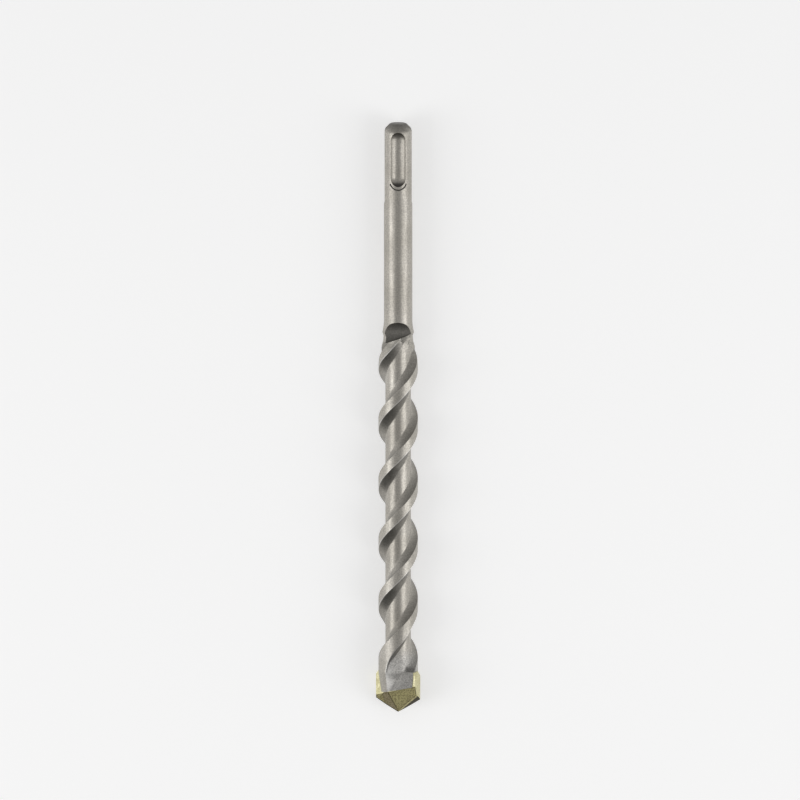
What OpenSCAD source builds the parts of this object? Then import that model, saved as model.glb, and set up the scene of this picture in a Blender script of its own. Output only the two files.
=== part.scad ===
// Masonry drill bit for rotary hammers, lying on its side.
// The bit is built upright, with z = 0 at the striking end of the shank and
// z = bit_len at the tip, and is then laid along Y with the tip towards -Y.
// Azimuths are measured from +Y towards +X, so a right-hand rib's azimuth
// falls as z grows. Everything repeats after half a turn about the axis.

/* [Overall] */
// Overall length from the striking end to the tip
bit_len = 210; // [200:1:300]

/* [Shank] */
// Shank and neck diameter
shank_d = 10; // [9.8:0.05:10.2]
// Height of the 45 degree chamfer at the striking end
end_chamfer = 2.1; // [1:0.1:2.5]
// Width of each closed locking groove at the surface
lock_groove_w = 5.2; // [4:0.1:5.6]
// Depth of each closed locking groove
lock_groove_depth = 1.9; // [1:0.1:2.2]
// Start of the locking grooves, from the striking end
lock_groove_from = 2.7; // [2.5:0.1:6]
// End of the locking grooves, from the striking end
lock_groove_to = 22; // [16:0.5:23]
// Distance from the locking groove's end to the arc mark
arc_mark_gap = 1.35; // [1:0.05:2]
// Width of the arc mark
arc_mark_w = 0.45; // [0.3:0.05:0.8]
// Width of each open drive slot
drive_slot_w = 3; // [2:0.1:3.6]
// Depth of each open drive slot
drive_slot_depth = 1.7; // [1:0.1:2]
// Length of the open drive slots, from the striking end
drive_slot_len = 28.5; // [24:0.5:32]

/* [Neck end] */
// Start of the flare that ends the plain neck, from the striking end
neck_len = 70.5; // [60:0.5:78]
// Diameter of the flare
flare_d = 11.1; // [10.6:0.1:11.6]
// Thickness left between the two pressed scoops
scoop_web = 6.2; // [5:0.1:7.5]
// Radius of the curve that leads into the pressed scoops
scoop_r = 5; // [4:0.5:8]
// Tilt of the wall that ends each scoop
scoop_wall_tilt = 20; // [0:1:30]

/* [Spiral] */
// Diameter over the ribs
rib_d = 13.9; // [13:0.1:14.4]
// Diameter of the core between the ribs
core_d = 9; // [8:0.1:9.6]
// Lead of each rib, one full turn
lead = 42.8; // [34:0.2:60]
// Angle of the rib's land
land_angle = 36; // [28:1:42]
// Angle that a rib's flank spans on the tip side
tip_flank_angle = 34; // [28:1:40]
// Angle that a rib's flank spans on the shank side
shank_flank_angle = 26.5; // [22:0.5:32]
// Length over which the ribs rise to their full diameter
rib_rise_len = 10; // [6:0.5:14]

/* [Head] */
// Distance from the tip back to the ledge where the flutes end
ledge_back = 15.1; // [14.6:0.1:18]
// Distance from the tip back to the steel end, on the axis
steel_end_back = 8.3; // [7.8:0.1:9.4]
// Distance of the head's two flat faces from the axis
face_dist = 5.33; // [5:0.01:5.6]
// Radius of the steel's corners that back the plate
backing_r = 7.6; // [6.95:0.05:7.7]
// Fall of the steel end across the plate's width
steel_end_fall = 11; // [0:1:15]
// Diameter of the steel at its end
steel_end_d = 12.2; // [11:0.1:13]
// Turn of the plate about the axis, from the floor plane
plate_turn = 27; // [0:1:40]

/* [Carbide plate] */
// Diameter that the plate cuts
cut_d = 16; // [15.2:0.1:17]
// Thickness of the plate
plate_t = 4; // [3:0.1:4.6]
// Length of the plate along the axis
plate_len = 14.8; // [13:0.1:14.8]
// Height of the chamfers on the plate's shoulders
shoulder_h = 1.8; // [1:0.1:2.4]
// Width of the chamfers on the plate's shoulders
shoulder_w = 1.2; // [0.6:0.1:1.6]
// Thickness of the braze film all round the plate
braze_t = 0.15; // [0.1:0.01:0.3]

/* [Hidden] */
$fn = 96;

shank_r = shank_d / 2;
end_edge_break = 0.25;
rib_r = rib_d / 2;
core_r = core_d / 2;
flare_r = flare_d / 2;
cut_r = cut_d / 2;
far = 4 * rib_d;

// Neck end: the flare's crest, the ribs' first radius and where they start
flare_rise_len = 3.8;
flare_fall_len = 4.4;
flare_waist = 0.3;
crest_half = 0.3;
crest_drop = 0.12;
rib_start_gap = 3.2;
rib_start_drop = 0.23;
rib_start_slope = 0.1;
scoop_gap = 1.85;
scoop_floor_len = 2.05;
scoop_ahead = 9.5;
flare_z = neck_len + flare_rise_len;
rib_start_z = flare_z + rib_start_gap;
rib_start_r = flare_r - rib_start_drop;
scoop_z = flare_z + scoop_gap;

// Root fillets, and how fast a flank's line falls away past its root, per degree
root_fillet = 0.3;
root_fall = 0.1;

// Flute ends: the cutter's radius, and where the floor leaves the core
flute_end_r = 6;
flute_start_gap = 3.4;
flute_slant_share = 0.8;
flute_start_z = rib_start_z + flute_start_gap;
flute_slant = flute_slant_share * core_r;

// Head: where the flutes end, the azimuth of the first land's edge along the head, and
// the two planes in front of the plate: a low one that leads on from the flute's core,
// and the flat face, which takes over along a slant that carries the helix on
ledge_z = bit_len - ledge_back;
ledge_step = 0.12;
head_phase = 69.6;
front_edge = -39.5;
low_plane = 10;
face_closing = 0.3;
face_from = 30;
face_slant = 9.1;
face_rise = 12;
widen_gap = 18;
widen_len = 7;
widen_angle = 13.3;
edge_blend = 50;
taper_gap = 0.6;
end_allowance = 0.4;
least_flank = 3;
widen_from = ledge_z - widen_gap;
taper_from = ledge_z + taper_gap;
steel_end_z = bit_len - steel_end_back;
steel_top_z = steel_end_z + rib_r * tan(steel_end_fall) + end_allowance;

// Mesh of the spiral: steps across a flank, a land and the core. The rings lie where the
// lands' facets line up from ring to ring, and a row of them faces straight down, so
// that the bit rests on a flat row and not on single corners
flank_steps = 4;
land_steps = 5;
core_steps = 10;
facets_per_ring = 2;
facet_angle = land_angle / land_steps;
ring_gap = lead * facets_per_ring * facet_angle / 360;
facet_turn = (360 - facet_angle / 2 - head_phase + land_angle / 2) % facet_angle;
last_ring_gap = lead * facet_turn / 360;
head_ring_gap = 0.8;
spiral_lead_in = 1.1;
spiral_from = flare_z - spiral_lead_in;

// Plate: its back end and its ground faces, as slopes from the plate's plane
plate_z = bit_len - plate_len;
slot_z = plate_z - braze_t;
edge_tilt = 44.7;
edge_azimuth = 39.5;
rake_tilt = 78.4;
rake_azimuth = 86.8;
rake_back = [7.25, 9.9];
relief_tilt = 79.5;
relief_azimuth = 81.5;
gash_lean = 25.3;
gash_x = 0.3;

function smooth_step(t) = let (s = min(1, max(0, t))) s * s * (3 - 2 * s);

// The larger of two values, rounded over where they are within k of each other
function soft_max(a, b, k) = max(a, b) + pow(max(k - abs(a - b), 0), 2) / (4 * k);

// Radius at angle a of the straight line through (r1, a1) and (r2, a2)
function chord(r1, a1, r2, a2, a) =
    r1 * r2 * sin(a2 - a1) / (r1 * sin(a - a1) + r2 * sin(a2 - a));

// Azimuth of the first rib's middle
function rib_azimuth(z) = head_phase - 180 - 360 * (min(z, ledge_z) - ledge_z) / lead;

// Outer radius: the ribs rise behind the neck and taper at the plate
function outer_r(z) =
    z < rib_start_z
        ? rib_start_r - rib_start_slope * (rib_start_z - z)
        : z < taper_from
            ? rib_r - (rib_r - rib_start_r) * pow(1 - min(1, (z - rib_start_z) / rib_rise_len), 2)
            : rib_r - (rib_r - steel_end_d / 2) * (z - taper_from) / (steel_end_z - taper_from);

// A rib's land edges and its roots, in degrees from its middle: towards the head the
// land widens, and the tip-side edge settles at the head's front edge
shank_edge = -land_angle / 2;
shank_root = 180 + shank_edge - shank_flank_angle;
function plain_edge(z) = land_angle / 2 + widen_angle * smooth_step((z - widen_from) / widen_len);
function tip_edge(z) = soft_max(plain_edge(z), front_edge - rib_azimuth(z), edge_blend);
function tip_root(z) = max(land_angle / 2 + tip_flank_angle, tip_edge(z) + least_flank);

// Flank at angle a: straight from the land's edge to the root, and falling away past it
function flank_r(edge_r, edge, root, a) =
    (a - root) * (root - edge) > 0
        ? core_r - root_fall * abs(a - root)
        : chord(edge_r, edge, core_r, root, a);

// Floor of a flute: the core, rising behind the neck along a line square to the helix,
// and leaving the core for the low plane in front of the plate
function floor_r(a, z) =
    let (slant = flute_slant * (a - 90) * PI / 180)
    let (before = max(0, flute_start_z + slant - z))
    core_r / cos(min(0, rib_azimuth(z) + a - low_plane)) + pow(before, 2) / (2 * flute_end_r);

// Flute at angle a from the first rib's middle, from its land's edge to the next rib's
function flute_r(a, z) =
    soft_max(floor_r(a, z),
        a < 90
            ? flank_r(outer_r(z), tip_edge(z), tip_root(z), a)
            : flank_r(outer_r(z), 180 + shank_edge, shank_root, a),
        root_fillet);

// Front of the head at angle a: the low plane, the flat face and the rise between them
function front_r(a, z) =
    let (azimuth = rib_azimuth(z) + a)
    let (closing = face_closing * (z - ledge_z) / (steel_end_z - ledge_z))
    let (low = (core_r - closing) / cos(azimuth - low_plane))
    let (high = (face_dist - closing) / cos(azimuth))
    let (rise = smooth_step((azimuth - face_from + face_slant * (z - ledge_z)) / face_rise))
    min(low + (high - low) * rise, azimuth < 0 ? outer_r(z) : backing_r - closing);

function section_r(a, z) =
    a <= tip_edge(z)
        ? outer_r(z)
        : z > ledge_z ? front_r(a, z) : min(outer_r(z), flute_r(a, z));

function steps(from, to, n) = [for (i = [0:n - 1]) from + (to - from) * i / n];

// Angles of half a ring, from one rib's shank-side edge to the next one's
function ring_angles(z) = concat(
    steps(shank_edge, tip_edge(z), land_steps),
    steps(tip_edge(z), tip_root(z), flank_steps),
    steps(tip_root(z), shank_root, core_steps),
    steps(shank_root, 180 + shank_edge, flank_steps));

function ring(z) = [
    for (half = [0, 180])
        for (a = ring_angles(z))
            let (r = section_r(a, z), azimuth = rib_azimuth(z) + a + half)
            [r * sin(azimuth), r * cos(azimuth), z]];

module spiral() {
    rings_below = floor((ledge_z - last_ring_gap - spiral_from) / ring_gap);
    below = [for (i = [rings_below:-1:0]) ledge_z - last_ring_gap - i * ring_gap];
    above = steps(ledge_z + ledge_step, steel_top_z, ceil((steel_top_z - ledge_z) / head_ring_gap));
    levels = concat(below, [ledge_z], above, [steel_top_z]);
    per_ring = 2 * (land_steps + 2 * flank_steps + core_steps);
    last = (len(levels) - 1) * per_ring;
    polyhedron(
        points = [for (z = levels) each ring(z)],
        faces = concat(
            [[for (i = [per_ring - 1:-1:0]) i]],
            [for (k = [0:len(levels) - 2])
                for (i = [0:per_ring - 1])
                    let (a = k * per_ring + i, b = k * per_ring + (i + 1) % per_ring)
                    each [[a, b, b + per_ring], [a, b + per_ring, a + per_ring]]],
            [[for (i = [0:per_ring - 1]) last + i]]));
}

// Repeats its children after half a turn about the axis
module both() {
    for (turn = [0, 180])
        rotate([0, 0, turn])
            children();
}

// Lays the upright bit along Y, on its ribs
module laid_down() {
    translate([0, bit_len / 2, rib_r])
        rotate([90, 0, 0])
            children();
}

// Everything on the far side of a plane whose normal leans by tilt towards azimuth
module beyond(tilt, azimuth) {
    rotate([0, tilt, azimuth])
        translate([-far, -far, 0])
            cube([2 * far, 2 * far, far]);
}

// Shank and neck as turned, with the flare that ends the neck
module turned_shank() {
    rotate_extrude()
        polygon([
            [0, 0],
            [shank_r - end_chamfer - end_edge_break, 0],
            [shank_r - end_chamfer + end_edge_break, end_edge_break],
            [shank_r, end_chamfer],
            [shank_r, neck_len],
            [shank_r + 0.2 * (flare_r - shank_r), neck_len + 0.5 * flare_rise_len],
            [flare_r - crest_drop, flare_z - crest_half],
            [flare_r, flare_z],
            [flare_r - crest_drop, flare_z + crest_half],
            [core_r - flare_waist, flare_z + flare_fall_len],
            [0, flare_z + flare_fall_len]]);
}

// Closed groove for the chuck's locking ball, on the +Y side
module lock_groove() {
    edge_depth = lock_groove_depth - (shank_r - sqrt(pow(shank_r, 2) - pow(lock_groove_w / 2, 2)));
    groove_r = (pow(lock_groove_w / 2, 2) + pow(edge_depth, 2)) / (2 * edge_depth);
    axis_y = shank_r - lock_groove_depth + groove_r;
    end_run = sqrt(pow(groove_r, 2) - pow(groove_r - lock_groove_depth, 2));
    from = lock_groove_from + end_run;
    to = lock_groove_to - end_run;
    translate([0, axis_y, from]) {
        sphere(r = groove_r);
        cylinder(r = groove_r, h = to - from);
    }
    translate([0, axis_y, to])
        sphere(r = groove_r);
}

// Shallow arc that follows the locking groove's end
module arc_mark() {
    mark_depth = 0.35;
    arc_r = lock_groove_w / 2 + 0.5;
    arc_z = lock_groove_to + arc_mark_gap - arc_r;
    horns_from = 0.25 * arc_r;
    difference() {
        translate([0, 0, arc_z])
            rotate([-90, 0, 0])
                cylinder(r = arc_r, h = shank_d);
        translate([0, 0, arc_z])
            rotate([-90, 0, 0])
                translate([0, 0, -1])
                    cylinder(r = arc_r - arc_mark_w, h = shank_d + 2);
        translate([0, 0, arc_z - 2 * arc_r])
            cylinder(r = shank_r - mark_depth, h = 4 * arc_r);
        translate([-far, -far, arc_z - far])
            cube([2 * far, 2 * far, far + horns_from]);
    }
}

// Open slot for the chuck's drive rib, on the +X side
module drive_slot() {
    cutter_r = 6;
    floor_x = shank_r - drive_slot_depth;
    run_out = sqrt(pow(cutter_r, 2) - pow(cutter_r - drive_slot_depth, 2));
    straight = drive_slot_len - run_out;
    translate([floor_x, -drive_slot_w / 2, -1])
        cube([2 * drive_slot_depth, drive_slot_w, straight + 1]);
    translate([floor_x + cutter_r, drive_slot_w / 2, straight])
        rotate([90, 0, 0])
            cylinder(r = cutter_r, h = drive_slot_w);
}

// Scoop pressed into the neck's end, on the +Y side
module scoop() {
    rotate([0, 0, -(rib_azimuth(scoop_z) + scoop_ahead)])
        difference() {
            translate([-far / 2, scoop_web / 2, scoop_z - scoop_floor_len]) {
                translate([0, scoop_r, 0])
                    rotate([0, 90, 0])
                        cylinder(r = scoop_r, h = far);
                cube([far, far, far]);
            }
            translate([0, 0, scoop_z])
                beyond(scoop_wall_tilt, 0);
        }
}

module plate_slot() {
    slot_w = plate_t + 2 * braze_t;
    rotate([0, 0, plate_turn])
        translate([-far, -slot_w / 2, slot_z])
            cube([2 * far, slot_w, far]);
}

// What the grinding of the steel end takes away on the plate's front side
module steel_end_cut() {
    rotate([0, 0, plate_turn])
        translate([0, 0, steel_end_z])
            rotate([0, steel_end_fall, 0])
                translate([-far, 0, 0])
                    cube([2 * far, far, far]);
}

module steel_body() {
    color("#8f8f8a")
        laid_down()
            difference() {
                union() {
                    turned_shank();
                    spiral();
                }
                both() {
                    lock_groove();
                    arc_mark();
                    drive_slot();
                    scoop();
                    steel_end_cut();
                }
                plate_slot();
            }
}

// The plate's flat outline, in its own plane
module plate_outline() {
    top_x = cut_r - shoulder_w;
    shoulder_z = plate_z + shoulder_h;
    polygon([
        [-top_x, plate_z],
        [top_x, plate_z],
        [cut_r, shoulder_z],
        [cut_r, bit_len],
        [-cut_r, bit_len],
        [-cut_r, shoulder_z]]);
}

module plate_blank() {
    intersection() {
        translate([0, plate_t / 2, 0])
            rotate([90, 0, 0])
                linear_extrude(height = plate_t)
                    plate_outline();
        translate([0, 0, plate_z - 1])
            cylinder(r = cut_r, h = plate_len + 2);
    }
}

// Ground faces on the plate's front: the edge's land, the rake and the relief
module ground_faces() {
    translate([0, 0, bit_len])
        beyond(edge_tilt, edge_azimuth);
    translate([rake_back[0], plate_t / 2, bit_len - rake_back[1]])
        beyond(rake_tilt, rake_azimuth);
    intersection() {
        translate([0, 0, bit_len])
            beyond(relief_tilt, relief_azimuth);
        translate([gash_x, 0, bit_len])
            rotate([0, gash_lean, 0])
                translate([-far, -far, -far])
                    cube([far, 2 * far, 2 * far]);
    }
}

module carbide_plate() {
    color("#8c8560")
        laid_down()
            rotate([0, 0, plate_turn])
                difference() {
                    plate_blank();
                    both()
                        ground_faces();
                }
}

// Braze film: it fills the slot round the plate, just inside the steel's outline
module braze_joint() {
    film_inset = 0.12;
    color("#b0964e")
        laid_down()
            difference() {
                intersection() {
                    plate_slot();
                    translate([0, 0, slot_z])
                        cylinder(r1 = outer_r(taper_from) - film_inset,
                            r2 = outer_r(steel_top_z) - film_inset, h = steel_top_z - slot_z);
                }
                rotate([0, 0, plate_turn])
                    plate_blank();
                translate([0, 0, -film_inset])
                    both()
                        steel_end_cut();
            }
}

steel_body();
carbide_plate();
braze_joint();
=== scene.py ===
"""Masonry drill bit lying on its ribs, seen from above.

Shapes are worked out as if the bit stood upright, in millimetres, with z = 0 at the
striking end and azimuths from +Y towards +X. LAID_DOWN turns them into the row frame.
"""
from math import asin, atan2, ceil, cos, degrees, hypot, pi, radians, sin, sqrt, tan

import bmesh
import bpy
from mathutils import Matrix, Vector

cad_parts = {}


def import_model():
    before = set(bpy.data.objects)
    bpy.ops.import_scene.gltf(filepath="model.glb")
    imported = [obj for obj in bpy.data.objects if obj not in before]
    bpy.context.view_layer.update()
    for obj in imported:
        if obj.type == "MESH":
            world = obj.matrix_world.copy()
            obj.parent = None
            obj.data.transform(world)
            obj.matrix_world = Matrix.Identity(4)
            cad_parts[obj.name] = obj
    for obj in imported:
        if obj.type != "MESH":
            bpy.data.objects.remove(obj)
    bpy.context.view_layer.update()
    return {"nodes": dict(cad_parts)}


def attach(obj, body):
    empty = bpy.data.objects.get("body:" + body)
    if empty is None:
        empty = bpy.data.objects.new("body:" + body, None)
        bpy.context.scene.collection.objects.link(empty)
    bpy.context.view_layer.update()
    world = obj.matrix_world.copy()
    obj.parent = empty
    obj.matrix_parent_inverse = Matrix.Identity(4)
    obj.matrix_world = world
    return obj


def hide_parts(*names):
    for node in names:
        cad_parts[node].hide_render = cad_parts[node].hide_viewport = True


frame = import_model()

MM = 0.001

# Millimetres and degrees, as in the part's source unless a comment says otherwise. In the
# materials and on the stage, which are in the row frame, lengths are in metres.

# Overall, shank and neck end
BIT_LEN = 210
SHANK_R = 5
TURNED_SEGMENTS = 144
# Striking end, rounder than the source's chamfer: inset from the shank's radius, and z
END_PROFILE = [(2.85, 0), (2.6, 0.02), (2.35, 0.07), (2.1, 0.17), (1.88, 0.31), (1.65, 0.49),
               (1.38, 0.75), (1, 1.14), (0.7, 1.46), (0.45, 1.78), (0.26, 2.1), (0.12, 2.45),
               (0.04, 2.8), (0, 3.2)]
END_FACE_TO = 4.1
NECK_RING_GAP = 2
NECK_LEN = 70.5
FLARE_R = 5.55
FLARE_Z = 74.3
FLARE_RISE_LEN = 3.6
FLARE_RISE_STEPS = 8
FLARE_RISE_LINEAR = 0.45
FLARE_RISE_SHARE = 0.97
# Crest of the flare: inset from its radius, and z from FLARE_Z
FLARE_CREST = [(0.02, -0.1), (0.02, 0.1), (0.12, 0.3)]
FLARE_FALL_LEN = 4.4
FLARE_FALL_INSET = 0.3
GROOVE_W = 5.2
GROOVE_DEPTH = 1.9
GROOVE_FROM = 2.7
GROOVE_TO = 22
GROOVE_END_STEPS = 16
GROOVE_SEGMENTS = 96
ARC_MARK_GAP = 1.35
ARC_MARK_W = 0.45
ARC_MARK_DEPTH = 0.35
ARC_MARK_OUTSET = 0.5
ARC_MARK_END = 0.25
ARC_MARK_STEPS = 24
SLOT_W = 3
SLOT_DEPTH = 1.7
SLOT_LEN = 28.5
SLOT_CUTTER_R = 6
SLOT_END_STEPS = 12
SCOOP_WEB = 6.2
SCOOP_R = 5
SCOOP_WALL_TILT = 20
SCOOP_Z = FLARE_Z + 1.85
SCOOP_FLOOR_LEN = 2.05
SCOOP_AHEAD = 9.5
SCOOP_STEPS = 32

# Spiral
RIB_R = 6.95
CORE_R = 4.5
LEAD = 42.8
LAND_ANGLE = 36
TIP_FLANK_ANGLE = 34
SHANK_FLANK_ANGLE = 26.5
SHANK_EDGE = -LAND_ANGLE / 2
SHANK_ROOT = 180 + SHANK_EDGE - SHANK_FLANK_ANGLE
RIB_RISE_LEN = 10
RIB_START_Z = FLARE_Z + 3.2
RIB_START_R = FLARE_R - 0.23
RIB_LEAD_IN = 0.1
ROOT_FILLET = 0.08
ROOT_FALL = 0.1
FLUTE_END_R = 6
FLUTE_START_Z = RIB_START_Z + 3.4
FLUTE_SLANT = CORE_R * 0.8
SPIRAL_FROM = FLARE_Z - 1.1
RING_GAP = 0.5
# Rounding of the lands' edges in the scene alone, and how far from them it is looked for
EDGE_BREAK = 0.16
NEAR_EDGE = 8

# Head
LEDGE_Z = BIT_LEN - 15.1
HEAD_PHASE = 69.6
FRONT_EDGE = -39.5
LOW_PLANE = 10
# The front's flat face lies lower here than in the source, its rise is softer, and the
# low plane is hollow from its left edge on
FACE_DIST = 5.15
FACE_CLOSING = 0.3
FACE_FROM = 18
FACE_SLANT = 9.1
FACE_RISE = 36
FACE_HOLLOW = 0.4
HOLLOW_FROM_X = -4.4
HOLLOW_W = 5.9
HOLLOW_RISE_LEN = 3
FRONT_EDGE_BREAK = 0.15
BACKING_R = 7.6
LEAST_FLANK = 3
WIDEN_FROM = LEDGE_Z - 18
WIDEN_LEN = 7
WIDEN_ANGLE = 13.3
EDGE_BLEND = 50
TAPER_FROM = LEDGE_Z + 0.6
STEEL_END_Z = BIT_LEN - 8.3
STEEL_END_FALL = 11
STEEL_END_R = 6.1
STEEL_TOP_Z = STEEL_END_Z + RIB_R * tan(radians(STEEL_END_FALL)) + 0.4
PLATE_TURN = 27
PLATE_SLOT_W = 4.3
PLATE_SLOT_Z = BIT_LEN - 14.8 - 0.15
HEAD_RINGS_FROM = LEDGE_Z + 0.12
HEAD_RING_GAP = 0.25

# Reach of the cutting tools
OVERCUT = 1
HUB_LEN = 40
SCOOP_TOOL_RISE = 20
SCOOP_TOOL_OUT = 30
SCOOP_TOOL_HALF_W = 15
FAR = 60

# From the upright bit, in millimetres, to the row frame
LAID_DOWN = (Matrix.Scale(MM, 4) @ Matrix.Translation((0, BIT_LEN / 2, RIB_R))
             @ Matrix.Rotation(pi / 2, 4, "X"))


# ---------------------------------------------------------------- spiral section

def smooth_step(t):
    s = min(1, max(0, t))
    return s * s * (3 - 2 * s)


def soft_max(a, b, k):
    return max(a, b) + max(k - abs(a - b), 0) ** 2 / (4 * k)


def soft_min(a, b, k):
    return min(a, b) - max(k - abs(a - b), 0) ** 2 / (4 * k)


def chord(r1, a1, r2, a2, a):
    """Radius at angle a of the straight line through (r1, a1) and (r2, a2)."""
    a1, a2, a = radians(a1), radians(a2), radians(a)
    return r1 * r2 * sin(a2 - a1) / (r1 * sin(a - a1) + r2 * sin(a2 - a))


def rib_azimuth(z):
    """Azimuth of the middle of a rib's land; the head goes on straight."""
    return HEAD_PHASE - 180 - 360 * (min(z, LEDGE_Z) - LEDGE_Z) / LEAD


def outer_r(z):
    """Radius of the lands: rising out of the neck, full, then tapering to the steel's end."""
    if z < RIB_START_Z:
        return RIB_START_R - RIB_LEAD_IN * (RIB_START_Z - z)
    if z < TAPER_FROM:
        return RIB_R - (RIB_R - RIB_START_R) * (1 - min(1, (z - RIB_START_Z) / RIB_RISE_LEN)) ** 2
    return RIB_R - (RIB_R - STEEL_END_R) * (z - TAPER_FROM) / (STEEL_END_Z - TAPER_FROM)


def tip_edge(z):
    """Angle from the land's middle to its tip-side edge, which widens into the head."""
    plain = LAND_ANGLE / 2 + WIDEN_ANGLE * smooth_step((z - WIDEN_FROM) / WIDEN_LEN)
    return soft_max(plain, FRONT_EDGE - rib_azimuth(z), EDGE_BLEND)


def tip_root(z):
    return max(LAND_ANGLE / 2 + TIP_FLANK_ANGLE, tip_edge(z) + LEAST_FLANK)


def flank_r(edge_r, edge, root, a):
    """Flank at angle a: straight from the land's edge to the root, falling away past it."""
    if (a - root) * (root - edge) > 0:
        return CORE_R - ROOT_FALL * abs(a - root)
    r = chord(edge_r, edge, CORE_R, root, a)
    return r if 0 < r < FAR else FAR


def floor_r(a, z):
    """Floor of the flute: the core, its run-out at the neck and the plane at the head."""
    before = max(0, FLUTE_START_Z + FLUTE_SLANT * radians(a - 90) - z)
    turn = min(0, rib_azimuth(z) + a - LOW_PLANE)
    return CORE_R / cos(radians(turn)) + before ** 2 / (2 * FLUTE_END_R)


def flute_r(a, z):
    if a < 90:
        flank = flank_r(outer_r(z), tip_edge(z), tip_root(z), a)
    else:
        flank = flank_r(outer_r(z), 180 + SHANK_EDGE, SHANK_ROOT, a)
    return soft_max(floor_r(a, z), flank, ROOT_FILLET)


def front_r(a, z):
    """Front of the head: a low plane, the flat face and the rise between them."""
    azimuth = rib_azimuth(z) + a
    closing = FACE_CLOSING * (z - LEDGE_Z) / (STEEL_END_Z - LEDGE_Z)
    low = (CORE_R - closing) / cos(radians(azimuth - LOW_PLANE))
    across = min(1, max(0, (low * sin(radians(azimuth)) - HOLLOW_FROM_X) / HOLLOW_W))
    hollow = FACE_HOLLOW * smooth_step((z - LEDGE_Z) / HOLLOW_RISE_LEN)
    low -= hollow * 4 * across * (1 - across) / cos(radians(azimuth))
    high = (FACE_DIST - closing) / cos(radians(azimuth))
    r = low + (high - low) * smooth_step(
        (azimuth - FACE_FROM + FACE_SLANT * (z - LEDGE_Z)) / FACE_RISE)
    if azimuth < 0:
        return soft_min(r, outer_r(z), FRONT_EDGE_BREAK)
    return min(r, BACKING_R - closing)


def section_r(a, z):
    """Radius of the spiral or head at angle a from the middle of a rib's land."""
    outer = outer_r(z)
    if z > LEDGE_Z:
        return front_r(a, z) if a > tip_edge(z) - 2 * NEAR_EDGE else outer
    if a > tip_edge(z):
        return soft_min(outer, flute_r(a, z), EDGE_BREAK)
    flank = min(flank_r(outer, tip_edge(z), tip_root(z), max(a, tip_edge(z) - NEAR_EDGE)),
                flank_r(outer, SHANK_EDGE, SHANK_ROOT - 180, min(a, SHANK_EDGE + NEAR_EDGE)))
    return soft_min(outer, flank, EDGE_BREAK)


def spread(start, end, shares):
    return [start + (end - start) * s for s in shares]


# Shares along a land, a flank, the core and the far flank: closer at the edges
LAND_SHARES = [0, 0.03, 0.08, 0.16, 0.28, 0.4, 0.5, 0.6, 0.72, 0.84, 0.92, 0.97]
TIP_FLANK_SHARES = [0, 0.02, 0.05, 0.12, 0.25, 0.4, 0.55, 0.7, 0.82, 0.9, 0.95]
CORE_SHARES = [i / 28 for i in range(28)]
SHANK_FLANK_SHARES = [0, 0.07, 0.15, 0.25, 0.37, 0.5, 0.63, 0.76, 0.88, 0.95, 0.98]


def ring_angles(z):
    return (spread(SHANK_EDGE, tip_edge(z), LAND_SHARES)
            + spread(tip_edge(z), tip_root(z), TIP_FLANK_SHARES)
            + spread(tip_root(z), SHANK_ROOT, CORE_SHARES)
            + spread(SHANK_ROOT, 180 + SHANK_EDGE, SHANK_FLANK_SHARES))


def ring(z):
    """Section at z as points, clockwise seen from +z."""
    points = []
    for half in (0, 180):
        for a in ring_angles(z):
            r = section_r(a, z)
            azimuth = radians(rib_azimuth(z) + a + half)
            points.append((r * sin(azimuth), r * cos(azimuth), z))
    return points


def levels(start, end, gap):
    n = ceil((end - start) / gap)
    return [start + (end - start) * i / n for i in range(n)]


# ---------------------------------------------------------------- mesh helpers

def piece(name, points, faces):
    mesh = bpy.data.meshes.new(name)
    mesh.from_pydata(points, [], faces)
    mesh.update()
    obj = bpy.data.objects.new(name, mesh)
    bpy.context.collection.objects.link(obj)
    return obj


def loft(name, rings):
    """Closed solid through equal rings, each anticlockwise seen from +z."""
    n = len(rings[0])
    points = [p for r in rings for p in r]
    faces = [list(range(n - 1, -1, -1))]
    for k in range(len(rings) - 1):
        for i in range(n):
            j = (i + 1) % n
            faces.append([k * n + i, k * n + j, (k + 1) * n + j, (k + 1) * n + i])
    faces.append([(len(rings) - 1) * n + i for i in range(n)])
    return piece(name, points, faces)


def turned(name, profile, segments, centre=(0, 0)):
    """Solid of revolution about z: profile is (radius, z) from one end to the other."""
    rings = []
    for r, z in profile:
        rings.append([(centre[0] + r * cos(2 * pi * i / segments),
                       centre[1] + r * sin(2 * pi * i / segments), z)
                      for i in range(segments)])
    return loft(name, rings)


def prism(name, outline, to_point, low, high):
    """Outline (u, v) pushed from low to high; to_point(u, v, w) gives the point."""
    n = len(outline)
    points = [to_point(u, v, w) for w in (low, high) for u, v in outline]
    faces = [list(range(n - 1, -1, -1)), list(range(n, 2 * n))]
    faces += [[i, (i + 1) % n, n + (i + 1) % n, n + i] for i in range(n)]
    obj = piece(name, points, faces)
    bm = bmesh.new()
    bm.from_mesh(obj.data)
    bmesh.ops.recalc_face_normals(bm, faces=bm.faces)
    bm.to_mesh(obj.data)
    bm.free()
    return obj


def slab(name, matrix, low, high):
    """Box from low to high, placed by an upright matrix."""
    outline = [(low[0], low[1]), (high[0], low[1]), (high[0], high[1]), (low[0], high[1])]

    def to_point(u, v, w):
        return tuple(matrix @ Vector((u, v, w)))
    return prism(name, outline, to_point, low[2], high[2])


def combine(obj, other, operation):
    """obj becomes its union, difference or intersection with other, which goes."""
    step = obj.modifiers.new("step", "BOOLEAN")
    step.operation = operation
    step.solver = "EXACT"
    step.object = other
    graph = bpy.context.evaluated_depsgraph_get()
    made = bpy.data.meshes.new_from_object(obj.evaluated_get(graph))
    obj.modifiers.clear()
    old = obj.data
    obj.data = made
    bpy.data.meshes.remove(old)
    bpy.data.objects.remove(other)
    return obj


def spin(turn):
    return Matrix.Rotation(radians(turn), 4, "Z")


# ---------------------------------------------------------------- steel body

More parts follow.
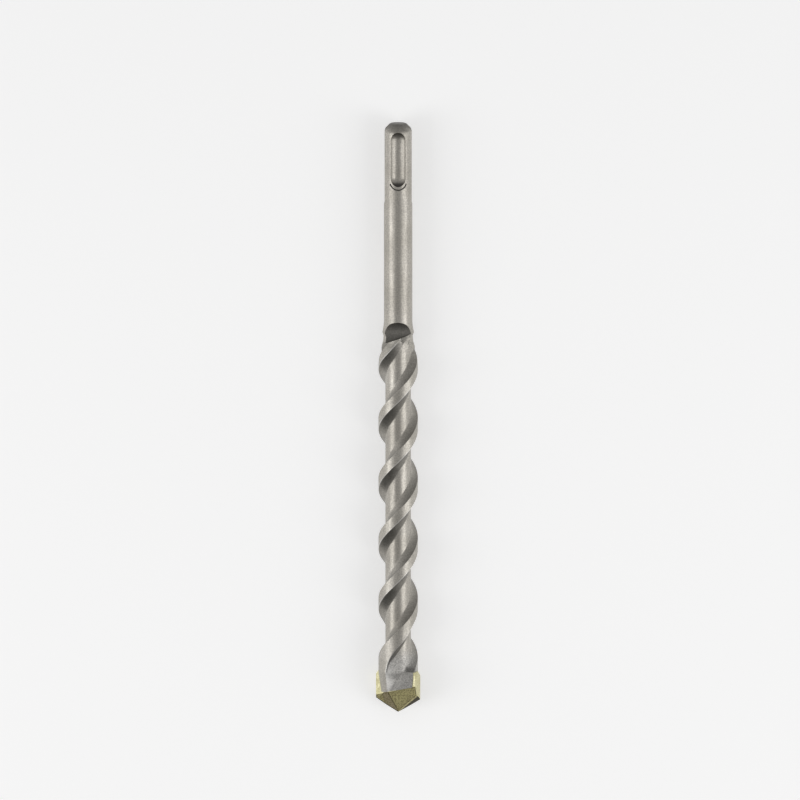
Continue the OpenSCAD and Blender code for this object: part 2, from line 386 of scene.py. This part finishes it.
def turned_shank():
    flare_up = [(SHANK_R, NECK_LEN)]
    crest = FLARE_R - SHANK_R
    for i in range(1, FLARE_RISE_STEPS + 1):
        t = i / FLARE_RISE_STEPS
        rise = FLARE_RISE_LINEAR * t + (1 - FLARE_RISE_LINEAR) * t * t
        flare_up.append((SHANK_R + crest * rise * FLARE_RISE_SHARE, NECK_LEN + FLARE_RISE_LEN * t))
    profile = [(SHANK_R - inset, z) for inset, z in END_PROFILE]
    profile += [(SHANK_R, z) for z in levels(END_FACE_TO, NECK_LEN, NECK_RING_GAP)]
    profile += flare_up
    profile += [(FLARE_R - inset, FLARE_Z + z) for inset, z in FLARE_CREST]
    profile += [(CORE_R - FLARE_FALL_INSET, FLARE_Z + FLARE_FALL_LEN)]
    return turned("shank", profile, TURNED_SEGMENTS)


def spiral():
    zs = (levels(SPIRAL_FROM, LEDGE_Z, RING_GAP) + [LEDGE_Z]
          + levels(HEAD_RINGS_FROM, STEEL_TOP_Z, HEAD_RING_GAP) + [STEEL_TOP_Z])
    return loft("spiral", [ring(z)[::-1] for z in zs])


def lock_groove():
    """Tool of one locking groove: a drum whose ends are rounded by its own radius."""
    edge_depth = GROOVE_DEPTH - (SHANK_R - sqrt(SHANK_R ** 2 - (GROOVE_W / 2) ** 2))
    groove_r = ((GROOVE_W / 2) ** 2 + edge_depth ** 2) / (2 * edge_depth)
    axis_y = SHANK_R - GROOVE_DEPTH + groove_r
    end_run = sqrt(groove_r ** 2 - (groove_r - GROOVE_DEPTH) ** 2)
    low, high = GROOVE_FROM + end_run, GROOVE_TO - end_run
    step = pi / 2 / GROOVE_END_STEPS
    quarter = [i * step for i in range(GROOVE_END_STEPS + 1)]
    profile = [(groove_r * sin(q), low - groove_r * cos(q)) for q in quarter[1:]]
    profile += [(groove_r * cos(q), high + groove_r * sin(q)) for q in quarter[:-1]]
    return turned("groove", profile, GROOVE_SEGMENTS, (0, axis_y))


def arc_mark():
    """Tool of the shallow arc below a locking groove."""
    arc_r = GROOVE_W / 2 + ARC_MARK_OUTSET
    arc_z = GROOVE_TO + ARC_MARK_GAP - arc_r
    low = asin(ARC_MARK_END)
    bends = [low + (pi - 2 * low) * i / ARC_MARK_STEPS for i in range(ARC_MARK_STEPS + 1)]
    outline = [(arc_r * cos(b), arc_z + arc_r * sin(b)) for b in bends]
    outline += [((arc_r - ARC_MARK_W) * cos(b), arc_z + (arc_r - ARC_MARK_W) * sin(b))
                for b in reversed(bends)]
    tool = prism("arc", outline, lambda u, v, w: (u, w, v), 0, 2 * SHANK_R)
    hub_r = SHANK_R - ARC_MARK_DEPTH
    hub = turned("hub", [(hub_r, 0), (hub_r, HUB_LEN)], TURNED_SEGMENTS)
    return combine(tool, hub, "DIFFERENCE")


def drive_slot():
    """Tool of one drive slot: open at the striking end, run out by a round cutter."""
    floor_x = SHANK_R - SLOT_DEPTH
    run_out = sqrt(SLOT_CUTTER_R ** 2 - (SLOT_CUTTER_R - SLOT_DEPTH) ** 2)
    straight = SLOT_LEN - run_out
    outline = [(floor_x, -OVERCUT), (2 * SHANK_R, -OVERCUT),
               (2 * SHANK_R, straight + SLOT_CUTTER_R)]
    for i in range(SLOT_END_STEPS + 1):
        b = pi / 2 + pi / 2 * i / SLOT_END_STEPS
        outline.append((floor_x + SLOT_CUTTER_R + SLOT_CUTTER_R * cos(b),
                        straight + SLOT_CUTTER_R * sin(b)))
    return prism("slot", outline, lambda u, v, w: (u, w, v), -SLOT_W / 2, SLOT_W / 2)


def scoop():
    """Tool of one scoop: curved run-in, flat floor and tilted end wall."""
    turn = spin(-(rib_azimuth(SCOOP_Z) + SCOOP_AHEAD))
    floor_y, bend_z = SCOOP_WEB / 2, SCOOP_Z - SCOOP_FLOOR_LEN
    outline = [(floor_y, bend_z + SCOOP_TOOL_RISE), (SCOOP_TOOL_OUT, bend_z + SCOOP_TOOL_RISE),
               (SCOOP_TOOL_OUT, bend_z - SCOOP_R)]
    for i in range(SCOOP_STEPS + 1):
        b = pi / 2 * i / SCOOP_STEPS
        outline.append((floor_y + SCOOP_R - SCOOP_R * sin(b), bend_z - SCOOP_R * cos(b)))
    drum = prism("scoop", outline, lambda u, v, w: tuple(turn @ Vector((w, u, v))),
                 -SCOOP_TOOL_HALF_W, SCOOP_TOOL_HALF_W)
    place = (turn @ Matrix.Translation((0, 0, SCOOP_Z))
             @ Matrix.Rotation(radians(SCOOP_WALL_TILT), 4, "Y"))
    wall = slab("wall", place, (-FAR, -FAR, 0), (FAR, FAR, FAR))
    return combine(drum, wall, "DIFFERENCE")


def steel_end_cut():
    """Tool of the slope at the steel's end, on one side of the plate."""
    place = (spin(PLATE_TURN) @ Matrix.Translation((0, 0, STEEL_END_Z))
             @ Matrix.Rotation(radians(STEEL_END_FALL), 4, "Y"))
    return slab("end", place, (-FAR, 0, 0), (FAR, FAR, FAR))


def plate_slot():
    return slab("plate", spin(PLATE_TURN), (-FAR, -PLATE_SLOT_W / 2, PLATE_SLOT_Z),
                (FAR, PLATE_SLOT_W / 2, PLATE_SLOT_Z + FAR))


def steel_body():
    steel = combine(turned_shank(), spiral(), "UNION")
    for cutter in (lock_groove, arc_mark, drive_slot, scoop, steel_end_cut):
        for turn in (0, 180):
            tool = cutter()
            tool.data.transform(spin(turn))
            combine(steel, tool, "DIFFERENCE")
    combine(steel, plate_slot(), "DIFFERENCE")
    steel.name = "steel_surface"
    return steel


SHARP_ANGLE = 12


def smooth(obj):
    mesh = obj.data
    for polygon in mesh.polygons:
        polygon.use_smooth = True
    mesh.set_sharp_from_angle(angle=radians(SHARP_ANGLE))


# ---------------------------------------------------------------- materials

def nodes_of(name):
    material = bpy.data.materials.new(name)
    material.use_nodes = True
    tree = material.node_tree
    return material, tree, tree.nodes["Principled BSDF"]


def add(tree, kind, **values):
    node = tree.nodes.new(kind)
    for key, value in values.items():
        setattr(node, key, value)
    return node


def noise(tree, coords, scale, detail, stretch=(1, 1, 1)):
    mapping = add(tree, "ShaderNodeMapping")
    mapping.inputs["Scale"].default_value = stretch
    tree.links.new(coords, mapping.inputs["Vector"])
    node = add(tree, "ShaderNodeTexNoise")
    node.inputs["Scale"].default_value = scale
    node.inputs["Detail"].default_value = detail
    tree.links.new(mapping.outputs["Vector"], node.inputs["Vector"])
    return node.outputs["Fac"]


def remap(tree, value, low, high, to_low, to_high):
    node = add(tree, "ShaderNodeMapRange")
    tree.links.new(value, node.inputs["Value"])
    ends = {"From Min": low, "From Max": high, "To Min": to_low, "To Max": to_high}
    for key, v in ends.items():
        node.inputs[key].default_value = v
    return node.outputs["Result"]


def feed(tree, socket, value):
    """Links a socket to another node's output, or sets it to a plain value."""
    if hasattr(value, "is_output"):
        tree.links.new(value, socket)
    else:
        socket.default_value = value


# Places of the colour sockets on a mix node
MIX_A, MIX_B, MIX_RESULT = 6, 7, 2


def mix(tree, factor, a, b):
    node = add(tree, "ShaderNodeMix", data_type="RGBA")
    feed(tree, node.inputs["Factor"], factor)
    feed(tree, node.inputs[MIX_A], a)
    feed(tree, node.inputs[MIX_B], b)
    return node.outputs[MIX_RESULT]


def blend(tree, value, low, high, a, b, share=1):
    """From a to b as value goes from low to high, stopping at a share of b."""
    return mix(tree, remap(tree, value, low, high, 0, share), a, b)


def math_node(tree, operation, a, b=0):
    node = add(tree, "ShaderNodeMath", operation=operation)
    feed(tree, node.inputs[0], a)
    feed(tree, node.inputs[1], b)
    return node.outputs[0]


def separate(tree, vector):
    node = add(tree, "ShaderNodeSeparateXYZ")
    tree.links.new(vector, node.inputs[0])
    return node.outputs


BUMP_DEPTH = 0.00004


def finish(tree, shader, colour, rough, metallic, height=None, strength=0):
    """Feeds the shader, with bumps of BUMP_DEPTH where a height is given."""
    tree.links.new(colour, shader.inputs["Base Color"])
    tree.links.new(rough, shader.inputs["Roughness"])
    shader.inputs["Metallic"].default_value = metallic
    if height:
        bump = add(tree, "ShaderNodeBump")
        bump.inputs["Strength"].default_value = strength
        bump.inputs["Distance"].default_value = BUMP_DEPTH
        tree.links.new(height, bump.inputs["Height"])
        tree.links.new(bump.outputs["Normal"], shader.inputs["Normal"])


WARM_GREEN = 0.35


def grey(v, warm):
    """Grey whose blue is lower by the share warm, and its green by WARM_GREEN of that."""
    return (v, v * (1 - WARM_GREEN * warm), v * (1 - warm), 1)


def attribute(tree, name):
    return add(tree, "ShaderNodeAttribute", attribute_name=name).outputs["Fac"]


# Colours of the steel; the last two are a painted highlight and painted shade
STEEL_SHADES = grey(0.47, 0.17), grey(0.58, 0.14)
STEEL_GRAIN = grey(0.24, 0.12)
BLASTED_SHADES = grey(0.72, 0.06), grey(0.4, 0.06)
PAINTED_HIGHLIGHT_STEEL = grey(0.9, 0.05)
PAINTED_SHADE_STEEL = grey(0.09, 0.1)

# Colours of the carbide and of the brazing alloy; the shaded olive, the dark of the cutting edges'
# lands and facet lines, and the braze's near black are painted shade
PALE_SHADES = (0.6, 0.56, 0.32, 1), (0.74, 0.7, 0.46, 1)
PALE_FLECKS = (0.42, 0.38, 0.2, 1)
OLIVE = (0.56, 0.51, 0.25, 1)
SHADED_OLIVE = (0.42, 0.36, 0.23, 1)
OLIVE_CLOUDS = (0.36, 0.31, 0.17, 1)
OLIVE_FLECKS = (0.2, 0.17, 0.09, 1)
CUTTING_EDGE_SHADE = (0.06, 0.052, 0.03, 1)
FACET_SHADE_LINE = (0.045, 0.038, 0.022, 1)
BRAZE_IN_SHADE = (0.05, 0.04, 0.02, 1), (0.16, 0.12, 0.05, 1)


def steel_material():
    """Satin steel with a fine grain. The attributes that mark() writes say where it is
    matt and blasted, and where highlights and shade are painted into its colour."""
    material, tree, shader = nodes_of("satin_steel")
    coords = add(tree, "ShaderNodeTexCoord").outputs["Object"]
    cloud = noise(tree, coords, 120, 5)
    grain = noise(tree, coords, 2100, 3)
    brushed = noise(tree, coords, 900, 3, (1, 0.12, 1))
    painted_shade, matt, painted_highlight = [attribute(tree, name) for name in ("painted_shade", "matt", "painted_highlight")]
    colour = blend(tree, cloud, 0.3, 0.7, *STEEL_SHADES)
    colour = blend(tree, grain, 0.38, 0.62, colour, STEEL_GRAIN, 0.5)
    blasted = blend(tree, grain, 0.35, 0.65, *BLASTED_SHADES)
    colour = mix(tree, math_node(tree, "MULTIPLY", matt, 0.8), colour, blasted)
    # Painted highlight: lighter along the lands' tip-side edges and on the head's front next to
    # its left edge
    colour = mix(tree, math_node(tree, "MULTIPLY", painted_highlight, 0.7), colour, PAINTED_HIGHLIGHT_STEEL)
    # Painted shade: the colour goes toward near-black steel where the shade attribute is high
    colour = mix(tree, painted_shade, colour, PAINTED_SHADE_STEEL)
    rough = remap(tree, brushed, 0.3, 0.7, 0.34, 0.46)
    rough = math_node(tree, "ADD", rough, math_node(tree, "MULTIPLY", painted_shade, 0.15))
    rough = math_node(tree, "ADD", rough, math_node(tree, "MULTIPLY", matt, 0.12))
    finish(tree, shader, colour, rough, 1, math_node(tree, "ADD", grain, brushed), 0.4)
    return material


# Where the carbide's faces turn to the tip: the pale ones, the ground facets, the lands
# along the cutting edges. Each is the Y of the normal at both ends of the change.
PALE_TO_GROUND = -0.09, -0.12
FACET_TO_LAND = -0.45, -0.5
# The X of the normal that tells the olive facets from those in painted shade, brown, and
# the width of the painted shade lines along the facets' edges
OLIVE_TO_SHADED = -0.365, -0.345
LINE_W = 0.00035


def carbide_material():
    """Ground carbide: pale on the broad faces, olive on the ground facets. Painted shade turns
    some facets brown and darkens the cutting edges' lands and thin lines along facet edges."""
    material, tree, shader = nodes_of("ground_carbide")
    place = add(tree, "ShaderNodeTexCoord")
    coords = place.outputs["Object"]
    toward = separate(tree, place.outputs["Normal"])
    ground = remap(tree, toward["Y"], *PALE_TO_GROUND, 0, 1)
    land = remap(tree, toward["Y"], *FACET_TO_LAND, 0, 1)
    facet = math_node(tree, "SUBTRACT", 1, land)
    cloud = noise(tree, coords, 420, 5)
    flecks = noise(tree, coords, 2200, 4)
    pale = blend(tree, cloud, 0.35, 0.65, *PALE_SHADES)
    pale = blend(tree, flecks, 0.45, 0.65, pale, PALE_FLECKS, 0.5)
    # Painted shade: the facets turned one way are brown instead of olive
    shaded_side = math_node(tree, "MULTIPLY", facet, remap(tree, toward["X"], *OLIVE_TO_SHADED, 0, 1))
    olive = mix(tree, shaded_side, OLIVE, SHADED_OLIVE)
    olive = blend(tree, cloud, 0.35, 0.65, olive, OLIVE_CLOUDS, 0.5)
    olive = blend(tree, flecks, 0.45, 0.6, olive, OLIVE_FLECKS, 0.8)
    colour = mix(tree, ground, pale, olive)
    # Painted shade: dark on the part of each land next to its cutting edge, which faces the tip
    edge_shade = math_node(tree, "MULTIPLY", land, outer_part(tree, coords, toward["Z"]))
    colour = mix(tree, edge_shade, colour, CUTTING_EDGE_SHADE)
    # Painted shade: thin dark lines along the facets' edges
    shade_line = math_node(tree, "MULTIPLY", ground, edge_lines(tree, LINE_W))
    colour = mix(tree, math_node(tree, "MULTIPLY", shade_line, facet), colour, FACET_SHADE_LINE)
    finish(tree, shader, colour, remap(tree, flecks, 0.3, 0.7, 0.36, 0.52), 0.8, flecks, 0.35)
    return material


# Line that splits the land along a cutting edge, in the row frame: its slope, and its Y
# on the axis at both ends of the change
LAND_SPLIT_SLOPE = 0.95
LAND_SPLIT_Y = -0.10512, -0.10532


def outer_part(tree, coords, toward_z):
    """1 on the part of each land next to its cutting edge, 0 on the part next to the facet."""
    at = separate(tree, coords)
    out = math_node(tree, "MULTIPLY", at["X"], math_node(tree, "SIGN", toward_z))
    out = math_node(tree, "MULTIPLY", out, LAND_SPLIT_SLOPE)
    return remap(tree, math_node(tree, "SUBTRACT", at["Y"], out), *LAND_SPLIT_Y, 0, 1)


# Edges are where the bevelled normal leaves the plain one: cosines at both ends of the
# change, and how strong the line gets
EDGE_COSINES = 0.99998, 0.9998
EDGE_STRENGTH = 0.9
EDGE_SAMPLES = 6


def edge_lines(tree, width):
    """Up to EDGE_STRENGTH along the edges of a piece and 0 elsewhere."""
    bevel = add(tree, "ShaderNodeBevel", samples=EDGE_SAMPLES)
    bevel.inputs["Radius"].default_value = width
    plain = add(tree, "ShaderNodeNewGeometry").outputs["True Normal"]
    match = add(tree, "ShaderNodeVectorMath", operation="DOT_PRODUCT")
    tree.links.new(bevel.outputs["Normal"], match.inputs[0])
    tree.links.new(plain, match.inputs[1])
    return remap(tree, match.outputs["Value"], *EDGE_COSINES, 0, EDGE_STRENGTH)


# A real braze film, coloured near black as painted shade for the shadowed gap between the steel's
# end and the plate
def shaded_braze_material():
    material, tree, shader = nodes_of("brazing_alloy_in_painted_shade")
    coords = add(tree, "ShaderNodeTexCoord").outputs["Object"]
    cloud = noise(tree, coords, 500, 5)
    colour = blend(tree, cloud, 0.3, 0.7, *BRAZE_IN_SHADE)
    finish(tree, shader, colour, remap(tree, cloud, 0.3, 0.7, 0.4, 0.6), 0.9)
    return material


# ---------------------------------------------------------------- tones of the steel: painted shade, matt front and painted highlights

# How near a face's centre has to be to a flat or curved surface to lie on it, and the
# least share of the axis in the normal of a face on a scoop's wall
ON_FACE = 0.03
ON_CURVE = 0.05
ACROSS = 0.9

# Painted shade in the recesses and at the striking end: how dark it is, 0 to 1, and over which
# lengths
END_DARK = 0.8
END_DARK_LEN = 3.6
SCOOP_DARK = 0.52
SCOOP_FOOT_DARK = 0.24
SCOOP_FOOT_LEN = 4
SCOOP_TOP_MARGIN = 2
GROOVE_MARGIN = 0.6
GROOVE_LEAST_DEPTH = 0.04
GROOVE_START_DARK = 0.65
GROOVE_START_LEN = 2
GROOVE_END_DARK = 0.95
GROOVE_END_LEN = 2
GROOVE_END_FADE = 1.3
ARC_MARK_DARK = 0.9
ARC_MARK_FROM = GROOVE_TO - 1.2

# Painted shade on the head: its sides, the front's right part and the rise that leads to it
SIDE_DARK = 0.12
FACE_DARK = 0.1
RISE_DARK = 0.22
FACE_TO = 50

# Painted shade on the spiral: the line below the lands' shank-side edges, the flank there,
# the first flanks, the tip-side flanks, and a painted shadow in the corner above the ledge
LINE_FROM = 0.4
LINE_ANGLE = 8
LINE_DARK = 0.6
SHANK_FLANK_DARK = 0.5
FIRST_FLANK_DARK = 0.4
FIRST_FLANK_LEN = 6
FIRST_FLANK_FADE = 9
TIP_FLANK_SPAN = 0.015, 0.985
TIP_FLANK_LEAST_DEPTH = 0.02
TIP_FLANK_DARK = 0.6
TIP_FLANK_EASE = 0.2
ASIDE_FROM = 50
ASIDE_FADE = 30
ASIDE_EASE = 0.45
CORNER_AZIMUTHS = 33, 62
CORNER_DARK = 0.65
CORNER_LEN = 2.8
CORNER_FADE = 2

# Matt front of the head, and highlights painted along the lands' tip-side edges and on the front
# next to its left edge
MATT_LEN = 9
MATT_FADE = 6
MATT_MARGIN = 1
HIGHLIGHT_ANGLE = 1.2
HIGHLIGHT_DEPTH = 0.3
FRONT_HIGHLIGHT = 0.8
FRONT_HIGHLIGHT_ANGLE = 36
FRONT_HIGHLIGHT_POWER = 1.5
FRONT_HIGHLIGHT_LEN = 3


def rib_angle(x, y, z):
    """Angle of a point from the middle of the land behind it, 0 to 180."""
    return (degrees(atan2(x, y)) - rib_azimuth(z)) % 180


def front_azimuth(x, y):
    """Azimuth of a point, or of its twin on the far side, from -90 to 90."""
    return (degrees(atan2(x, y)) + 90) % 180 - 90


def on_scoop(point, normal):
    """Whether a face's centre lies on the wall, floor or curved run-in of either scoop."""
    turn = radians(rib_azimuth(SCOOP_Z) + SCOOP_AHEAD)
    across = point.x * cos(turn) - point.y * sin(turn)
    out = point.x * sin(turn) + point.y * cos(turn)
    if out < 0:
        across, out = -across, -out
    bend_z, tilt = SCOOP_Z - SCOOP_FLOOR_LEN, radians(SCOOP_WALL_TILT)
    above = out - SCOOP_WEB / 2
    to_wall = across * sin(tilt) + (point.z - SCOOP_Z) * cos(tilt)
    if abs(to_wall) < ON_FACE and abs(normal.z) > ACROSS:
        return above > -ON_FACE
    if point.z > bend_z:
        return abs(above) < ON_FACE and point.z < SCOOP_Z + SCOOP_TOP_MARGIN
    return abs(hypot(above - SCOOP_R, point.z - bend_z) - SCOOP_R) < ON_CURVE


def recess_shade(face, normal, z):
    """How dark the painted shade is on the face with its centre there, at height z, in the
    recesses and at the striking end."""
    r = hypot(face.x, face.y)
    beside_groove = abs(face.x) > GROOVE_W / 2 or face.z < GROOVE_FROM
    if face.z < END_FACE_TO and r < SHANK_R + ON_FACE and beside_groove:
        return END_DARK * (1 - smooth_step(z / END_DARK_LEN))
    if on_scoop(face, normal):
        foot = smooth_step((z - SCOOP_Z + SCOOP_FOOT_LEN) / SCOOP_FOOT_LEN)
        return SCOOP_DARK + SCOOP_FOOT_DARK * foot
    in_groove = face.z < GROOVE_TO + ARC_MARK_GAP and r < SHANK_R - GROOVE_LEAST_DEPTH
    if in_groove and abs(face.x) < GROOVE_W / 2 + GROOVE_MARGIN:
        if abs(r - SHANK_R + ARC_MARK_DEPTH) < ON_FACE and face.z > ARC_MARK_FROM:
            return ARC_MARK_DARK
        start = 1 - smooth_step((z - GROOVE_FROM) / GROOVE_START_LEN)
        end = smooth_step((z - GROOVE_TO + GROOVE_END_LEN) / GROOVE_END_FADE)
        return GROOVE_END_DARK * end + GROOVE_START_DARK * start
    return 0


def head_shade(x, y, z):
    """How dark the painted shade on the head is on its sides, on the front's rise and on its right
    part.
    """
    azimuth = front_azimuth(x, y)
    rise = (azimuth - FACE_FROM + FACE_SLANT * (z - LEDGE_Z)) / FACE_RISE
    if azimuth < FRONT_EDGE:
        return SIDE_DARK
    if rise < 0 or azimuth > FACE_TO:
        return 0
    return FACE_DARK + RISE_DARK * max(0, 4 * rise * (1 - rise))


def spiral_shade(x, y, z):
    """How dark the painted shade on the spiral and the head is."""
    if z >= LEDGE_Z:
        return head_shade(x, y, z)
    if z < RIB_START_Z:
        return 0
    a, azimuth = rib_angle(x, y, z), front_azimuth(x, y)
    painted_shade = 0
    below = 180 + SHANK_EDGE - a
    if LINE_FROM < below < SHANK_FLANK_ANGLE:
        past_first = smooth_step((z - RIB_START_Z - FIRST_FLANK_LEN) / FIRST_FLANK_FADE)
        painted_shade = max(LINE_DARK * (1 - below / LINE_ANGLE),
                   SHANK_FLANK_DARK * (1 - below / SHANK_FLANK_ANGLE),
                   FIRST_FLANK_DARK * (1 - past_first))
    along = (a - tip_edge(z)) / (tip_root(z) - tip_edge(z))
    on_flank = TIP_FLANK_SPAN[0] < along < TIP_FLANK_SPAN[1]
    if on_flank and hypot(x, y) < outer_r(z) - TIP_FLANK_LEAST_DEPTH:
        aside = smooth_step((abs(azimuth) - ASIDE_FROM) / ASIDE_FADE)
        painted_shade = (TIP_FLANK_DARK - TIP_FLANK_EASE * along) * (1 - ASIDE_EASE * aside)
    if a > tip_root(z) and CORNER_AZIMUTHS[0] < azimuth < CORNER_AZIMUTHS[1]:
        painted_shade = max(painted_shade, CORNER_DARK * smooth_step((z - LEDGE_Z + CORNER_LEN) / CORNER_FADE))
    return painted_shade


def matt_at(x, y, z):
    if rib_angle(x, y, z) < tip_edge(z) - MATT_MARGIN:
        return 0
    return smooth_step((z - LEDGE_Z + MATT_LEN) / MATT_FADE)


def painted_highlight_at(x, y, z):
    """How strong the highlight painted into the steel is: 1 along the lands' tip-side edges,
    less on the front of the head next to its left edge."""
    beyond = rib_angle(x, y, z) - tip_edge(z)
    on_land = RIB_START_Z < z < LEDGE_Z and hypot(x, y) > outer_r(z) - HIGHLIGHT_DEPTH
    if on_land and abs(beyond) < HIGHLIGHT_ANGLE:
        return 1
    past = beyond / FRONT_HIGHLIGHT_ANGLE
    if not 0 < past < 1:
        return 0
    at_head = smooth_step((z - LEDGE_Z + FRONT_HIGHLIGHT_LEN) / FRONT_HIGHLIGHT_LEN)
    return FRONT_HIGHLIGHT * (1 - past) ** FRONT_HIGHLIGHT_POWER * at_head


def mark(obj):
    """Writes the steel's painted shade, its matt front and its painted highlights, for its
    material.
    """
    mesh = obj.data
    points = [tuple(vertex.co) for vertex in mesh.vertices]
    painted_shade = [spiral_shade(*p) for p in points]
    corners = []
    for polygon in mesh.polygons:
        for index in polygon.vertices:
            z = points[index][2]
            corners.append(max(painted_shade[index], recess_shade(polygon.center, polygon.normal, z)))
    for name, domain, values in (("painted_shade", "CORNER", corners),
                                 ("matt", "POINT", [matt_at(*p) for p in points]),
                                 ("painted_highlight", "POINT", [painted_highlight_at(*p) for p in points])):
        mesh.attributes.new(name, "FLOAT", domain).data.foreach_set("value", values)


def dress(node, material):
    """Gives a node of the row its material; its mesh stays."""
    for slot in frame["nodes"][node].material_slots:
        slot.material = material


# ---------------------------------------------------------------- the three pieces

steel = steel_body()
smooth(steel)
mark(steel)
steel.data.transform(LAID_DOWN)
steel.data.materials.clear()
steel.data.materials.append(steel_material())
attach(steel, "root")
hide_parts("steel_body")
dress("carbide_plate", carbide_material())
dress("braze_joint", shaded_braze_material())

# ---------------------------------------------------------------- stage

FLOOR_HALF = 3
FLOOR_TONE = (0.8, 0.8, 0.8, 1)
FLOOR_ROUGHNESS = 0.9
FLOOR_GLOW = 0.42
WHITE = (1, 1, 1, 1)


def floor():
    h = FLOOR_HALF
    obj = piece("floor", [(-h, -h, 0), (h, -h, 0), (h, h, 0), (-h, h, 0)], [(0, 1, 2, 3)])
    material, tree, shader = nodes_of("pale_floor")
    shader.inputs["Base Color"].default_value = FLOOR_TONE
    shader.inputs["Roughness"].default_value = FLOOR_ROUGHNESS
    shader.inputs["Emission Color"].default_value = WHITE
    shader.inputs["Emission Strength"].default_value = FLOOR_GLOW
    obj.data.materials.append(material)


# Soft lights: angle from straight up towards +X, width and watts; their length lies along Y
LIGHTS = {"left_strip": (-54, 0.6, 1.3), "right_strip": (52, 0.68, 1.33)}
LIGHT_DISTANCE = 0.9
LIGHT_Y = -0.15
LIGHT_LEN = 0.4


def softbox(name, angle, width, power):
    light = bpy.data.lights.new(name, "AREA")
    light.shape = "RECTANGLE"
    light.size = width
    light.size_y = LIGHT_LEN
    light.energy = power
    obj = bpy.data.objects.new(name, light)
    a = radians(angle)
    obj.location = (LIGHT_DISTANCE * sin(a), LIGHT_Y, LIGHT_DISTANCE * cos(a))
    obj.rotation_euler = (0, a, 0)
    bpy.context.collection.objects.link(obj)


# Studio band: its tilt towards the tip, how narrow it is, its light at the ends of the
# bit, straight above and at the sides, and how far from upright the ends' light levels off
BAND_TILT = 0.165
BAND_SHARPNESS = 7
BAND_TIP_END = 0.13
BAND_SHANK_END = 0.45
BAND_TOP = 0.26
BAND_SIDE = 0.35
BAND_END_Y = 0.35


def world():
    """Soft studio: a bright band over the bit from side to side, dim towards its two ends."""
    made = bpy.data.worlds.new("studio")
    made.use_nodes = True
    tree = made.node_tree
    toward = separate(tree, add(tree, "ShaderNodeTexCoord").outputs["Generated"])
    along = math_node(tree, "ADD", toward["Y"], BAND_TILT)
    band = math_node(tree, "SUBTRACT", 1, math_node(tree, "MULTIPLY", along, along))
    band = math_node(tree, "POWER", math_node(tree, "MAXIMUM", band, 0), BAND_SHARPNESS)
    side = math_node(tree, "MULTIPLY", toward["X"], toward["X"])
    side = math_node(tree, "ADD", BAND_TOP, math_node(tree, "MULTIPLY", side, BAND_SIDE))
    ends = remap(tree, toward["Y"], -BAND_END_Y, BAND_END_Y, BAND_TIP_END, BAND_SHANK_END)
    light = math_node(tree, "ADD", ends, math_node(tree, "MULTIPLY", band, side))
    background = tree.nodes["Background"]
    background.inputs["Color"].default_value = WHITE
    tree.links.new(light, background.inputs["Strength"])
    bpy.context.scene.world = made


# Camera, in metres: where it looks, its degrees from straight above, and the photo's scale
CAMERA_TARGET = (0.00065, 0.0065, 0.00695)
CAMERA_ELEVATION = 9.5
CAMERA_DISTANCE = 6
PIXELS_PER_MM = 2.844
IMAGE_SIZE = 800
SENSOR = 36
CLIP = 0.05, 20


def camera():
    data = bpy.data.cameras.new("camera")
    data.sensor_width = SENSOR
    data.lens = PIXELS_PER_MM * SENSOR / IMAGE_SIZE * CAMERA_DISTANCE / MM
    data.clip_start, data.clip_end = CLIP
    obj = bpy.data.objects.new("camera", data)
    e = radians(CAMERA_ELEVATION)
    obj.location = Vector(CAMERA_TARGET) + CAMERA_DISTANCE * Vector((0, sin(e), cos(e)))
    obj.rotation_euler = (-e, 0, 0)
    bpy.context.collection.objects.link(obj)
    bpy.context.scene.camera = obj


floor()
for name, (angle, width, power) in LIGHTS.items():
    softbox(name, angle, width, power)
world()
camera()
bpy.context.scene.view_settings.view_transform = "Standard"
